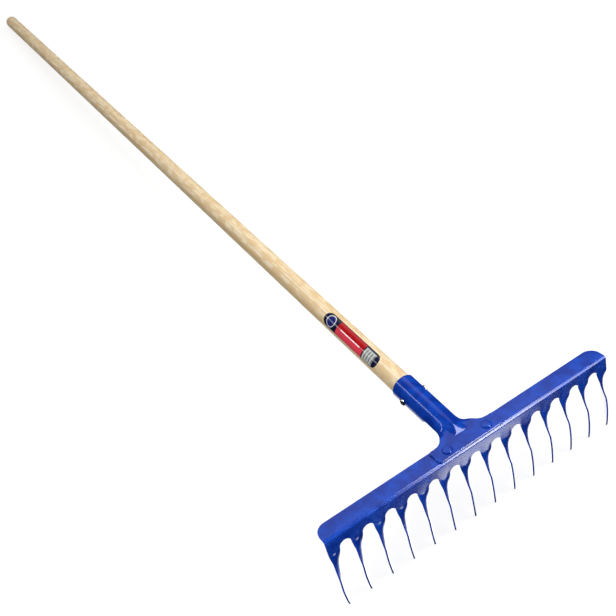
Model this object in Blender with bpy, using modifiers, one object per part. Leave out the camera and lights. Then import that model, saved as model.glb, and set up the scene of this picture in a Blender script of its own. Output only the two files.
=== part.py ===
"""Thatch rake: a pressed head with twisted, leaf shaped tines, riveted to a rolled socket on a pole.

Every piece is modelled in the head's own frame. Its origin is the outer corner of the head's bend,
halfway along the bar. +X runs along the bar, +Y runs back towards the pole, and the tines point down.
At the end an empty lays the rake on the floor, on its tine tips and the far end of its pole.
"""

import math

import bmesh
import bpy
from mathutils import Matrix, Vector

MM = 0.001

# Sheet steel, and the gap between pieces that touch
SHEET = 1.8 * MM
FIT = 0.3 * MM

# Head: the bar
TINE_COUNT = 14
TINE_PITCH = 28.0 * MM
NECK_WIDTH = 14.0 * MM
FLANGE_DEPTH = 22.5 * MM
FLANGE_CORNER = 13.0 * MM
BEND_RADIUS = 3.5 * MM
SLOT_TOP = 12.4 * MM

# Head: one blade, by its depth below the flange's top face
TINE_REACH = 94.0 * MM
BLADE_WIDTH = 22.4 * MM
BLADE_WIDEST = 47.4 * MM
SWELL_START = 29.5 * MM
SWELL_END = 50.5 * MM
TIP_WIDTH = 1.6 * MM
TWIST = math.radians(59.6)
TWIST_LENGTH = 30.2 * MM
SWEEP = 9.4 * MM
SWEEP_START = 30.7 * MM
SWEEP_END = 67.2 * MM
TIP_HOOK = 1.8 * MM
HOOK_LENGTH = 15.7 * MM

# Pole
POLE_DIAMETER = 26.4 * MM
END_DIAMETER = 24.4 * MM
POLE_LENGTH = 1528.0 * MM
POLE_RISE = math.radians(8.0)
POLE_END_ROUND = 9.0 * MM
NOSE_DIAMETER = 26.0 * MM
NOSE_CLEARANCE = 1.5 * MM
NOSE_CHAMFER = 2.0 * MM

# Socket: the tube round the pole, and the ear plate on the flange
MOUTH_SETBACK = 124.0 * MM
MOUTH_HEIGHT = 4.1 * MM
SEAM_GAP = 3.0 * MM
EAR_SPAN = 86.5 * MM
EAR_SETBACK = 1.5 * MM
EAR_DEPTH = 20.0 * MM
EAR_CORNER = 3.0 * MM
WAIST_WIDTH = 42.0 * MM
FILLET = 14.5 * MM
RAMP_LENGTH = 11.0 * MM
RAMP_HALF = 4.2 * MM
RAMP_FADE = 10.0 * MM
ROLL_START = 27.0 * MM
ROLL_LENGTH = 19.0 * MM
WAIST_LENGTH = 26.0 * MM
WRAP_LENGTH = 20.0 * MM

# Fasteners
RIVET_END_INSET = 16.75 * MM
RIVET_INSET = 9.0 * MM
RIVET_SHANK = 5.0 * MM
RIVET_HEAD = 11.8 * MM
RIVET_FLAT = 8.2 * MM
RIVET_DOME = 1.7 * MM
RIVET_TAIL = 1.2 * MM
SCREW_SETBACK = 19.5 * MM
SCREW_SHANK = 4.0 * MM
SCREW_LENGTH = 9.0 * MM
SCREW_HEAD = 8.6 * MM
SCREW_DOME = 2.6 * MM

# Label
LABEL_LENGTH = 111.0 * MM
LABEL_WIDTH = 19.0 * MM
LABEL_THICKNESS = 0.3 * MM
LABEL_SETBACK = 38.5 * MM
LABEL_TURN = math.radians(-35.0)
LABEL_ROUND = 9.0 * MM

# Steps of the round shapes
ARC_STEPS = 8
BEND_STEPS = 4
BLADE_STEPS = 13
SOCKET_COLUMNS = 24
EAR_STEPS = 3
FILLET_STEPS = 5
WAIST_STEPS = 5
WRAP_STEPS = 6
TUBE_STEPS = 4
POLE_SIDES = 32
RIVET_SIDES = 20
SCREW_SIDES = 16
DOME_STEPS = 4

MERGE = 0.01 * MM

# Search for the rest pose
TILT_MOST = math.radians(45.0)
TILT_ROUNDS = 40

# Worked out from the sizes above
SLOT_RADIUS = (TINE_PITCH - NECK_WIDTH) / 2
NECK_DEPTH = SLOT_TOP + SLOT_RADIUS
BAR_LENGTH = (TINE_COUNT - 1) * TINE_PITCH + NECK_WIDTH
PLATE_MIDDLE = SHEET / 2
EAR_UNDERSIDE = FIT
EAR_MIDDLE = EAR_UNDERSIDE + SHEET / 2
EAR_REAR = EAR_SETBACK + EAR_DEPTH
RAMP_TOP = EAR_REAR + RAMP_LENGTH
FILLET_END = EAR_REAR + FILLET
WRAP_START = FILLET_END + WAIST_LENGTH
WRAP_END = WRAP_START + WRAP_LENGTH
RIVET_SETBACK = EAR_SETBACK + RIVET_INSET
RIVET_REACH = EAR_SPAN / 2 - RIVET_END_INSET
POLE_RADIUS = POLE_DIAMETER / 2
END_RADIUS = END_DIAMETER / 2
NOSE_RADIUS = NOSE_DIAMETER / 2
MOUTH_MIDDLE = POLE_RADIUS + FIT + SHEET / 2
POLE_WAY = Vector((0.0, math.cos(POLE_RISE), math.sin(POLE_RISE)))
MOUTH = Vector((0.0, MOUTH_SETBACK, MOUTH_HEIGHT))
NOSE_LENGTH = MOUTH_SETBACK - WRAP_END - NOSE_CLEARANCE
NOSE = MOUTH - POLE_WAY * NOSE_LENGTH


def ease(share):
    """Rise smoothly from 0 to 1, level at both ends."""
    share = min(max(share, 0.0), 1.0)
    return share * share * (3.0 - 2.0 * share)


def blend(low, high, share):
    """The value a share of the way from low to high."""
    return low + (high - low) * share


def clear_scene():
    """Remove every object, so that the script can run again in an open file."""
    for old in list(bpy.data.objects):
        bpy.data.objects.remove(old, do_unlink=True)


def make_collection(name):
    """A new collection in the scene."""
    group = bpy.data.collections.new(name)
    bpy.context.scene.collection.children.link(group)
    return group


def make_material(name, colour, roughness, metallic):
    """A Principled material of one colour."""
    material = bpy.data.materials.new(name)
    material.use_nodes = True
    shader = material.node_tree.nodes["Principled BSDF"]
    shader.inputs["Base Color"].default_value = (*colour, 1.0)
    shader.inputs["Roughness"].default_value = roughness
    shader.inputs["Metallic"].default_value = metallic
    return material


def add_object(name, mesh_source, group, material=None, parent=None):
    """Put a bmesh in the scene as an object, with its material and parent."""
    mesh = bpy.data.meshes.new(name)
    mesh_source.to_mesh(mesh)
    mesh_source.free()
    piece = bpy.data.objects.new(name, mesh)
    group.objects.link(piece)
    if material is not None:
        mesh.materials.append(material)
    piece.parent = parent
    return piece


def thicken(piece, thickness, offset=0.0):
    """Give an open sheet its thickness, even on its bends."""
    modifier = piece.modifiers.new("Thickness", 'SOLIDIFY')
    modifier.thickness = thickness
    modifier.offset = offset
    modifier.use_even_offset = True


def cut(piece, cutter):
    """Cut a hole of the cutter's shape."""
    modifier = piece.modifiers.new("Cut " + cutter.name, 'BOOLEAN')
    modifier.operation = 'DIFFERENCE'
    modifier.object = cutter


def make_turned(name, profile, sides, group, material, parent):
    """Turn a profile of (radius, height) points, top to bottom, about the object's Z axis."""
    outline = bmesh.new()
    points = [outline.verts.new((radius, 0.0, height)) for radius, height in profile]
    for upper, lower in zip(points, points[1:]):
        outline.edges.new((upper, lower))
    piece = add_object(name, outline, group, material, parent)
    turning = piece.modifiers.new("Turning", 'SCREW')
    turning.axis = 'Z'
    turning.angle = math.tau
    turning.steps = sides
    turning.render_steps = sides
    turning.use_merge_vertices = True
    turning.merge_threshold = MERGE
    turning.use_smooth_shade = True
    return piece


def make_cutter(name, radius, length, sides, group, parent):
    """A closed cylinder about its own Z axis, for cutting a hole."""
    shape = bmesh.new()
    bmesh.ops.create_cone(shape, cap_ends=True, segments=sides, radius1=radius, radius2=radius,
                          depth=length)
    cutter = add_object(name, shape, group, parent=parent)
    cutter.hide_render = True
    cutter.display_type = 'WIRE'
    return cutter


def dome(radius, height, base, flat=0.0):
    """The points of a shallow dome with a flat middle, from its top on the axis to just above its rim."""
    turns = [step * math.pi / 2 / DOME_STEPS for step in range(DOME_STEPS)]
    shoulder = [(flat + (radius - flat) * math.sin(turn), base + height * math.cos(turn))
                for turn in turns]
    return [(0.0, base + height)] + shoulder if flat else shoulder


def blade_width(depth):
    """Width of a tine at a depth: a neck that swells into a leaf and tapers to the tip."""
    taper = (BLADE_WIDTH - TIP_WIDTH) / (TINE_REACH - BLADE_WIDEST)
    leaf = TIP_WIDTH + taper * (TINE_REACH - depth)
    return blend(NECK_WIDTH, leaf, ease((depth - SWELL_START) / (SWELL_END - SWELL_START)))


def blade_sweep(depth):
    """How far the blade's middle lies to its front side, which gives it its crescent shape."""
    forward = SWEEP * ease((depth - SWEEP_START) / (SWEEP_END - SWEEP_START))
    hook = max(depth - (TINE_REACH - HOOK_LENGTH), 0.0) / HOOK_LENGTH
    return TIP_HOOK * hook * hook - forward


def blade_point(neck_x, depth, side):
    """A point on a blade: side is -1 on its front edge, 0 in its middle and 1 on its rear edge."""
    share = min((depth - NECK_DEPTH) / TWIST_LENGTH, 1.0)
    angle = TWIST * math.sin(share * math.pi / 2)
    reach = blade_sweep(depth) + side * blade_width(depth) / 2
    return Vector((neck_x + reach * math.cos(angle), PLATE_MIDDLE + reach * math.sin(angle), -depth))


def neck_centres():
    """Where the tines stand along the bar."""
    first = -(TINE_COUNT - 1) * TINE_PITCH / 2
    return [first + tine * TINE_PITCH for tine in range(TINE_COUNT)]


def add_plate(sheet):
    """The flat plate between the bend and the necks, with the slots' round tops in its lower edge."""
    def face(outline):
        sheet.faces.new([sheet.verts.new((x, PLATE_MIDDLE, z)) for x, z in outline])

    necks = neck_centres()
    bend_z, neck_z = -BEND_RADIUS, -NECK_DEPTH
    for left, right in zip(necks, necks[1:]):
        middle = (left + right) / 2
        arc = [math.pi * step / ARC_STEPS for step in range(ARC_STEPS + 1)]
        crown = [(middle + SLOT_RADIUS * math.cos(turn), neck_z + SLOT_RADIUS * math.sin(turn))
                 for turn in arc]
        face([(left, neck_z), (left, bend_z), (right, bend_z), (right, neck_z)] + crown)
    for inner, outer in ((necks[0], -BAR_LENGTH / 2), (necks[-1], BAR_LENGTH / 2)):
        face([(outer, neck_z), (outer, bend_z), (inner, bend_z), (inner, neck_z)])
    bmesh.ops.remove_doubles(sheet, verts=sheet.verts, dist=MERGE)


def extrude_edges(sheet, edges):
    """Extrude edges of an open sheet in place and return the new vertices and edges."""
    grown = bmesh.ops.extrude_edge_only(sheet, edges=edges)["geom"]
    corners = [item for item in grown if isinstance(item, bmesh.types.BMVert)]
    rims = [item for item in grown if isinstance(item, bmesh.types.BMEdge)]
    return corners, rims


def add_bend_and_flange(sheet):
    """Fold the plate's upper edge back through a quarter turn and run it out into the flange."""
    rims = [edge for edge in sheet.edges
            if all(abs(vert.co.z + BEND_RADIUS) < MERGE for vert in edge.verts)]
    centre = Vector((0.0, BEND_RADIUS, -BEND_RADIUS))
    fold = Matrix.Rotation(-math.pi / 2 / BEND_STEPS, 3, 'X')
    for _ in range(BEND_STEPS):
        corners, rims = extrude_edges(sheet, rims)
        bmesh.ops.rotate(sheet, cent=centre, matrix=fold, verts=corners)
    corners, rims = extrude_edges(sheet, rims)
    bmesh.ops.translate(sheet, vec=(0.0, FLANGE_DEPTH - BEND_RADIUS, 0.0), verts=corners)
    rear, inside = FLANGE_DEPTH - MERGE, BAR_LENGTH / 2 - FLANGE_CORNER
    ribs = [edge for edge in sheet.edges
            if edge.is_manifold and any(vert.co.y > rear for vert in edge.verts)
            and all(abs(vert.co.x) > inside for vert in edge.verts)]
    bmesh.ops.dissolve_edges(sheet, edges=ribs, use_verts=True)
    tips = [vert for vert in sheet.verts if vert.co.y > rear and abs(vert.co.x) > inside]
    bmesh.ops.bevel(sheet, geom=tips, offset=FLANGE_CORNER, segments=ARC_STEPS, profile=0.5,
                    affect='VERTICES')


def add_blades(sheet):
    """Draw every neck's lower edge down into a twisted blade."""
    half_neck = NECK_WIDTH / 2 + MERGE
    for neck_x in neck_centres():
        rims = [edge for edge in sheet.edges
                if all(abs(vert.co.z + NECK_DEPTH) < MERGE and abs(vert.co.x - neck_x) < half_neck
                       for vert in edge.verts)]
        depth = NECK_DEPTH
        for step in range(1, BLADE_STEPS + 1):
            corners, rims = extrude_edges(sheet, rims)
            across = blade_point(neck_x, depth, 1) - blade_point(neck_x, depth, -1)
            corners.sort(key=lambda vert: vert.co.dot(across))
            depth = blend(NECK_DEPTH, TINE_REACH, step / BLADE_STEPS)
            for side, vert in zip((-1, 0, 1), corners):
                vert.co = blade_point(neck_x, depth, side)


def make_tine_head(group, material, parent):
    """The head: flange, bend, plate and tines, pressed from one sheet."""
    sheet = bmesh.new()
    add_plate(sheet)
    add_bend_and_flange(sheet)
    add_blades(sheet)
    bmesh.ops.recalc_face_normals(sheet, faces=sheet.faces)
    head = add_object("tine_head", sheet, group, material, parent)
    thicken(head, SHEET)
    return head


def tube_middle(y):
    """Radius of the tube's sheet, measured at its middle, at a distance behind the bend."""
    share = (MOUTH_SETBACK - y) / NOSE_LENGTH
    return MOUTH_MIDDLE + share * (NOSE_RADIUS - POLE_RADIUS)


def half_blank(y):
    """Half the width of the socket's blank, measured along the sheet."""
    waist = WAIST_WIDTH / 2
    behind = y - EAR_REAR
    if behind <= FILLET:
        return waist + FILLET - math.sqrt(max(FILLET ** 2 - (FILLET - behind) ** 2, 0.0))
    wrapped = math.pi * tube_middle(y) - SEAM_GAP / 2
    return blend(waist, wrapped, ease((y - WRAP_START) / WRAP_LENGTH))


def socket_point(y, side):
    """A point on the socket's sheet: y is where its ridge stands, side runs from -1 to 1 across it.

    The middle climbs from the ear to the tube up a short straight ramp, and the sides roll down later.
    """
    reach = side * half_blank(y)
    climbed = min(max((y - EAR_REAR) / RAMP_LENGTH, 0.0), 1.0)
    level = min(RAMP_HALF * (1.0 - climbed), abs(reach))
    beside = abs(reach) - level
    share = blend(climbed, ease((y - ROLL_START) / ROLL_LENGTH), ease(beside / RAMP_FADE))
    radius = tube_middle(y)
    behind = max(y, RAMP_TOP) - MOUTH_SETBACK
    ridge = MOUTH_HEIGHT + behind * math.tan(POLE_RISE) + radius / math.cos(POLE_RISE)
    turn = beside / radius
    aside = math.copysign(level + radius * math.sin(turn), reach)
    drop = radius * (1.0 - math.cos(turn))
    rolled = Vector((aside, y + drop * math.sin(POLE_RISE), ridge - drop * math.cos(POLE_RISE)))
    return Vector((reach, y, EAR_MIDDLE)).lerp(rolled, share)


def socket_rows():
    """Distances behind the bend at which the socket's sections are taken."""
    mouth = MOUTH_SETBACK - tube_middle(MOUTH_SETBACK) * math.sin(POLE_RISE)
    turns = [math.pi / 2 * step / FILLET_STEPS for step in range(FILLET_STEPS + 1)]
    rows = [EAR_SETBACK] + [EAR_REAR + FILLET * (1.0 - math.cos(turn)) for turn in turns]
    rows += [blend(FILLET_END, WRAP_START, step / WAIST_STEPS) for step in range(1, WAIST_STEPS + 1)]
    rows += [blend(WRAP_START, WRAP_END, step / WRAP_STEPS) for step in range(1, WRAP_STEPS + 1)]
    rows += [blend(WRAP_END, mouth, step / TUBE_STEPS) for step in range(1, TUBE_STEPS + 1)]
    return rows


def add_ears(sheet):
    """Run the flat front of the socket out to both ear ends and round their corners."""
    for side in (-1, 1):
        start = half_blank(EAR_REAR)
        rims = [edge for edge in sheet.edges
                if all(abs(vert.co.x - side * start) < MERGE and vert.co.y < EAR_REAR + MERGE
                       for vert in edge.verts)]
        corners, rims = extrude_edges(sheet, rims)
        bmesh.ops.translate(sheet, vec=(side * (EAR_SPAN / 2 - start), 0.0, 0.0), verts=corners)
        bmesh.ops.bevel(sheet, geom=corners, offset=EAR_CORNER, segments=EAR_STEPS, profile=0.5,
                        affect='VERTICES')


def make_socket(group, material, parent):
    """The socket: a flat ear plate in front, rolled into a tube with an open seam behind."""
    rows = socket_rows()
    sheet = bmesh.new()
    bmesh.ops.create_grid(sheet, x_segments=SOCKET_COLUMNS, y_segments=len(rows) - 1, size=1.0)
    for vert in sheet.verts:
        row = round((vert.co.y + 1.0) / 2 * (len(rows) - 1))
        y = rows[row]
        if row == 0:
            vert.co = Vector((vert.co.x * half_blank(EAR_REAR), y, EAR_MIDDLE))
        else:
            vert.co = socket_point(y, vert.co.x)
    add_ears(sheet)
    bmesh.ops.recalc_face_normals(sheet, faces=sheet.faces)
    socket = add_object("socket", sheet, group, material, parent)
    thicken(socket, SHEET)
    return socket


def pole_radius(along):
    """The pole's radius at a distance behind the socket's mouth."""
    return blend(POLE_RADIUS, END_RADIUS, along / (POLE_LENGTH - NOSE_LENGTH))


def make_pole(group, material, parent):
    """The wooden pole, from its rounded far end to its tapered nose in the socket."""
    turns = [math.pi / 2 * step / DOME_STEPS for step in range(DOME_STEPS + 1)]
    flat = END_RADIUS - POLE_END_ROUND
    profile = [(0.0, POLE_LENGTH)]
    for turn in turns:
        drop = POLE_END_ROUND * (1.0 - math.cos(turn))
        profile.append((flat + POLE_END_ROUND * math.sin(turn), POLE_LENGTH - drop))
    profile += [(POLE_RADIUS, NOSE_LENGTH), (NOSE_RADIUS, NOSE_CHAMFER),
                (NOSE_RADIUS - NOSE_CHAMFER, 0.0), (0.0, 0.0)]
    pole = make_turned("handle", profile, POLE_SIDES, group, material, parent)
    pole.location = NOSE
    pole.rotation_euler = (POLE_RISE - math.pi / 2, 0.0, 0.0)
    return pole


def make_rivet(name, side, group, material, parent):
    """A rivet through the ear and the flange, with a flat topped head and a low dome below."""
    top = EAR_UNDERSIDE + SHEET + FIT
    bottom = -SHEET - FIT
    head, shank = RIVET_HEAD / 2, RIVET_SHANK / 2
    profile = dome(head, RIVET_DOME, top, RIVET_FLAT / 2)
    profile += [(head, top), (shank, top), (shank, bottom), (head, bottom)]
    profile += reversed(dome(head, -RIVET_TAIL, bottom))
    rivet = make_turned(name, profile, RIVET_SIDES, group, material, parent)
    rivet.location = (side * RIVET_REACH, RIVET_SETBACK, 0.0)
    return rivet


def screw_seat():
    """Where the screws' line crosses the pole's axis, and how far out the socket's outer wall is there."""
    centre = MOUTH - POLE_WAY * SCREW_SETBACK
    return centre, tube_middle(centre.y) + SHEET / 2


def make_screw(name, side, group, material, parent):
    """A dome headed screw through one side of the socket into the pole."""
    centre, wall = screw_seat()
    head, shank = SCREW_HEAD / 2, SCREW_SHANK / 2
    seat = wall + FIT
    point = seat - SCREW_LENGTH
    profile = dome(head, SCREW_DOME, seat)
    profile += [(head, seat), (shank, seat), (shank, point + shank), (0.0, point)]
    screw = make_turned(name, profile, SCREW_SIDES, group, material, parent)
    screw.location = centre
    screw.rotation_euler = (0.0, side * math.pi / 2, 0.0)
    return screw


def cut_rivet_holes(pieces, group, parent):
    """Clear both rivets' shanks through the pieces that they hold."""
    radius = RIVET_SHANK / 2 + FIT
    length = 2 * (SHEET + FIT + RIVET_DOME)
    for name, side in (("left", -1), ("right", 1)):
        cutter = make_cutter("rivet_hole_" + name, radius, length, RIVET_SIDES, group, parent)
        cutter.location = (side * RIVET_REACH, RIVET_SETBACK, 0.0)
        for piece in pieces:
            cut(piece, cutter)


def cut_screw_holes(pieces, group, parent):
    """Clear both screws through the socket's wall and into the wood."""
    centre, wall = screw_seat()
    inner = wall - SCREW_LENGTH - FIT
    outer = wall + SCREW_HEAD
    radius = SCREW_SHANK / 2 + FIT
    for name, side in (("left", -1), ("right", 1)):
        cutter = make_cutter("screw_hole_" + name, radius, outer - inner, SCREW_SIDES, group, parent)
        cutter.location = centre + Vector((side * (outer + inner) / 2, 0.0, 0.0))
        cutter.rotation_euler = (0.0, math.pi / 2, 0.0)
        for piece in pieces:
            cut(piece, cutter)


def make_label(group, material, parent):
    """The label: a strip with rounded ends, bent round the pole behind the socket."""
    rows, columns = 2 * ARC_STEPS, ARC_STEPS
    strip = bmesh.new()
    bmesh.ops.create_grid(strip, x_segments=columns, y_segments=rows, size=1.0)
    wrap = pole_radius(LABEL_SETBACK) + FIT
    half_length, half_width = LABEL_LENGTH / 2, LABEL_WIDTH / 2
    for vert in strip.verts:
        across, along = vert.co.x * half_width, vert.co.y * half_length
        beside = max(abs(across) - (half_width - LABEL_ROUND), 0.0)
        shorter = LABEL_ROUND - math.sqrt(max(LABEL_ROUND ** 2 - beside ** 2, 0.0))
        turn = across / wrap
        along *= (half_length - shorter) / half_length
        vert.co = (wrap * math.sin(turn), -wrap * math.cos(turn), along)
    bmesh.ops.recalc_face_normals(strip, faces=strip.faces)
    label = add_object("label", strip, group, material, parent)
    thicken(label, LABEL_THICKNESS, offset=1.0)
    label.location = MOUTH + POLE_WAY * (LABEL_SETBACK + half_length)
    lie_along = Matrix.Rotation(POLE_RISE - math.pi / 2, 4, 'X')
    label.rotation_euler = (lie_along @ Matrix.Rotation(LABEL_TURN, 4, 'Z')).to_euler()
    return label


def world_points(piece):
    """The finished mesh's points in the world."""
    ready = piece.evaluated_get(bpy.context.evaluated_depsgraph_get())
    mesh = ready.to_mesh()
    points = [ready.matrix_world @ vert.co for vert in mesh.vertices]
    ready.to_mesh_clear()
    return points


def lay_on_floor(frame, pieces):
    """Turn and lift the frame until the tine tips and the pole's end both stand on z = 0."""
    bpy.context.view_layer.update()
    points = {piece.name: world_points(piece) for piece in pieces}

    def lowest(name, tilt):
        return min(point.z * math.cos(tilt) - point.y * math.sin(tilt) for point in points[name])

    low, high = 0.0, TILT_MOST
    for _ in range(TILT_ROUNDS):
        tilt = (low + high) / 2
        if lowest("handle", tilt) > lowest("tine_head", tilt):
            low = tilt
        else:
            high = tilt
    frame.rotation_euler = (-tilt, 0.0, 0.0)
    turn = Matrix.Rotation(-tilt, 3, 'X')
    turned = [turn @ point for group in points.values() for point in group]
    least = [min(point[axis] for point in turned) for axis in range(3)]
    most = [max(point[axis] for point in turned) for axis in range(3)]
    frame.location = (-(least[0] + most[0]) / 2, -(least[1] + most[1]) / 2, -least[2])


def main():
    """Build the rake."""
    clear_scene()
    rake = make_collection("thatch_rake")
    cutters = make_collection("cutters")
    frame = bpy.data.objects.new("rest_frame", None)
    rake.objects.link(frame)

    blue_head = make_material("blue_head", (0.02, 0.08, 0.45), 0.3, 0.0)
    blue_socket = make_material("blue_socket", (0.02, 0.09, 0.47), 0.3, 0.0)
    blue_rivet = make_material("blue_rivet", (0.02, 0.09, 0.50), 0.3, 0.0)
    steel = make_material("bright_steel", (0.75, 0.75, 0.76), 0.25, 1.0)
    wood = make_material("pale_wood", (0.80, 0.62, 0.40), 0.45, 0.0)
    paper = make_material("label_red", (0.65, 0.03, 0.05), 0.35, 0.0)

    head = make_tine_head(rake, blue_head, frame)
    socket = make_socket(rake, blue_socket, frame)
    pole = make_pole(rake, wood, frame)
    pieces = [head, socket, pole]
    for name, side in (("left", -1), ("right", 1)):
        pieces.append(make_rivet("rivet_" + name, side, rake, blue_rivet, frame))
        pieces.append(make_screw("screw_" + name, side, rake, steel, frame))
    pieces.append(make_label(rake, paper, frame))
    cut_rivet_holes([head, socket], cutters, frame)
    cut_screw_holes([socket, pole], cutters, frame)
    lay_on_floor(frame, pieces)


main()
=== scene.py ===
"""Thatch rake on a pale floor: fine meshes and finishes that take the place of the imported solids.

Sizes are in metres, and every piece has its place in the head's own frame. Its origin is the outer
corner of the head's bend, halfway along the bar. +X runs along the bar, +Y runs back towards the
pole, and the tines point down. REST lays that frame on the floor, so that the rake stands on its
tine tips and on the far end of its pole.
"""

import logging
import math
from dataclasses import dataclass
from enum import Enum
from functools import partial
from typing import Iterable, Sequence

import bmesh
import bpy
from bmesh.types import BMEdge, BMesh, BMFace, BMVert
from bpy.types import ID, Material, Node, NodeSocket, NodeTree, Object
from mathutils import Matrix, Vector


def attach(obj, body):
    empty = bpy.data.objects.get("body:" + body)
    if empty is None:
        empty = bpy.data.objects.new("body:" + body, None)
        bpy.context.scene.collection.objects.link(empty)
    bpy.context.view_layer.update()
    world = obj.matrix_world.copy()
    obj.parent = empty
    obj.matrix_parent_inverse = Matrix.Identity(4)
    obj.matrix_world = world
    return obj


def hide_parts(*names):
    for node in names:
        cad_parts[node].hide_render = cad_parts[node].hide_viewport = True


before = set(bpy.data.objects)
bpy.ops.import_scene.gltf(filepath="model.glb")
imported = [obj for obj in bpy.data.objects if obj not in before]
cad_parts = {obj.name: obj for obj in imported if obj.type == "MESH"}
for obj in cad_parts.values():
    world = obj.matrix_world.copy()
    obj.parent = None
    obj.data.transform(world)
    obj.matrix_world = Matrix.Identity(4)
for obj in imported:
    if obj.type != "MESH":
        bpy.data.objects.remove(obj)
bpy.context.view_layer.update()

LOG = logging.getLogger("thatch_rake")
MM = 0.001
MERGE = 0.005 * MM
ROUND_STEPS = 12
FAR = 1.0
WHITE = (1.0, 1.0, 1.0, 1.0)

# Sizes that more than one piece shares
SHEET = 1.8 * MM
FIT = 0.3 * MM
POLE_RADIUS = 13.2 * MM
END_RADIUS = 12.2 * MM
POLE_RISE = math.radians(8.0)
NOSE_RADIUS = 13.0 * MM
NOSE_LENGTH = 40.5 * MM
MOUTH = Vector((0.0, 124.0, 4.1)) * MM
POLE_WAY = Vector((0.0, math.cos(POLE_RISE), math.sin(POLE_RISE)))
WALL_AT_MOUTH = POLE_RADIUS + FIT + SHEET / 2
RIVET_REACH = 26.5 * MM
RIVET_SETBACK = 10.5 * MM
SCREW_SETBACK = 19.5 * MM
LABEL_LENGTH = 111.0 * MM
LABEL_WIDTH = 19.0 * MM

# How the head's frame lies in the world, and the frame of the pole, whose -Y side looks up
REST_TILT = math.radians(-10.371)
REST_PLACE = Vector((1.111, -791.859, 91.652)) * MM
REST = Matrix.Translation(REST_PLACE) @ Matrix.Rotation(REST_TILT, 4, 'X')
POLE_FRAME = REST @ Matrix.Translation(MOUTH) @ Matrix.Rotation(POLE_RISE - math.pi / 2, 4, 'X')

Span = tuple[float, float]
Triple = tuple[float, float, float]

# How far the Wave texture's phase runs over one metre at a scale of 1
WAVE_PHASE = 20.0

# Between which values nearly all of a noise pattern lies
NOISE_SPAN = (0.3, 0.7)

# What the Bevel modifier reads as an edge's share of its width, and the least angle it rounds
EDGE_MARK = "bevel_weight_edge"
SHARP = math.radians(40.0)


class Side(Enum):
    """Left and right as seen from the tines, looking along the pole."""

    LEFT = -1
    RIGHT = 1

    @property
    def word(self) -> str:
        """The side as a lower case word, for a piece's name."""
        return self.name.lower()


def ease(share: float) -> float:
    """Rise smoothly from 0 to 1, level at both ends.

    Args:
        share: How far along, of which anything below 0 or above 1 is cut off.

    Returns:
        The eased share.
    """
    share = min(max(share, 0.0), 1.0)
    return share * share * (3.0 - 2.0 * share)


def blend(low: float, high: float, share: float) -> float:
    """Find a value between two others.

    Args:
        low: The value at a share of 0.
        high: The value at a share of 1.
        share: How far from low to high.

    Returns:
        The value a share of the way from low to high.
    """
    return low + (high - low) * share


def tube_middle(y: float) -> float:
    """Find the radius of the socket's wall, at the middle of its sheet.

    Args:
        y: Distance behind the head's bend.

    Returns:
        The radius, which narrows from the mouth towards the head as the pole's nose does.
    """
    return WALL_AT_MOUTH + (MOUTH.y - y) / NOSE_LENGTH * (NOSE_RADIUS - POLE_RADIUS)


def only(items: Iterable[object], kind: type) -> list:
    """Pick the items of one type, such as the new vertices that an operator returns."""
    return [item for item in items if isinstance(item, kind)]


class Pen:
    """A chain of edges in a bmesh, drawn onwards from its last point."""

    def __init__(self, mesh: BMesh, start: Vector) -> None:
        """Set the first point.

        Args:
            mesh: The bmesh that gets the chain.
            start: The first point.
        """
        self.mesh = mesh
        self.tip = bmesh.ops.create_vert(mesh, co=start)["vert"][0]

    def line(self, end: Sequence[float], steps: int = 1) -> None:
        """Draw a straight line of equal edges.

        Args:
            end: Its end.
            steps: Number of edges.
        """
        stride = (Vector(end) - self.tip.co) / steps
        for _ in range(steps):
            grown = bmesh.ops.extrude_vert_indiv(self.mesh, verts=[self.tip])["verts"]
            bmesh.ops.translate(self.mesh, vec=stride, verts=grown)
            self.tip = grown[0]

    def arc(self, centre: Sequence[float], axis: Sequence[float], angle: float, steps: int) -> None:
        """Draw an arc of equal edges.

        Args:
            centre: Its centre.
            axis: Direction of its axis.
            angle: How far it turns, in radians.
            steps: Number of edges.
        """
        swept = bmesh.ops.spin(self.mesh, geom=[self.tip], cent=centre, axis=axis, angle=angle,
                               steps=steps, use_merge=False, use_duplicate=False)
        self.tip = only(swept["geom_last"], BMVert)[0]

    def bulge(self, centre: Span, reach: float, rise: float, steps: int,
              inwards: bool = False) -> None:
        """Draw a quarter of an ellipse in the XZ plane, from its top to its rim.

        Args:
            centre: Its X and Z.
            reach: Its half width.
            rise: Height of its top above its centre.
            steps: Number of edges.
            inwards: Whether it runs from its rim to its top instead.
        """
        turns = [math.pi / 2 * step / steps for step in range(steps + 1)]
        for turn in turns[-2::-1] if inwards else turns[1:]:
            self.line((centre[0] + reach * math.sin(turn), 0.0,
                       centre[1] + rise * math.cos(turn)))


def lathe(mesh: BMesh, sides: int) -> None:
    """Turn everything drawn so far about the Z axis into a closed shell.

    Args:
        mesh: The bmesh that holds the outline.
        sides: Number of steps round.
    """
    bmesh.ops.spin(mesh, geom=[*mesh.verts, *mesh.edges], cent=(0, 0, 0), axis=(0, 0, 1),
                   angle=math.tau, steps=sides, use_merge=True, use_duplicate=False)
    bmesh.ops.remove_doubles(mesh, verts=mesh.verts, dist=MERGE)
    bmesh.ops.recalc_face_normals(mesh, faces=mesh.faces)


def extrude_edges(mesh: BMesh, edges: Iterable[BMEdge]) -> tuple[list[BMVert], list[BMEdge]]:
    """Extrude edges of an open sheet in place.

    Args:
        mesh: The bmesh.
        edges: The edges to extrude.

    Returns:
        The new vertices and the new edges.
    """
    grown = bmesh.ops.extrude_edge_only(mesh, edges=list(edges))["geom"]
    return only(grown, BMVert), only(grown, BMEdge)


def put(name: str, data: ID) -> Object:
    """Put an object into the scene, made of its mesh, lamp or camera data."""
    thing = bpy.data.objects.new(name, data)
    bpy.context.scene.collection.objects.link(thing)
    return thing


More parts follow.
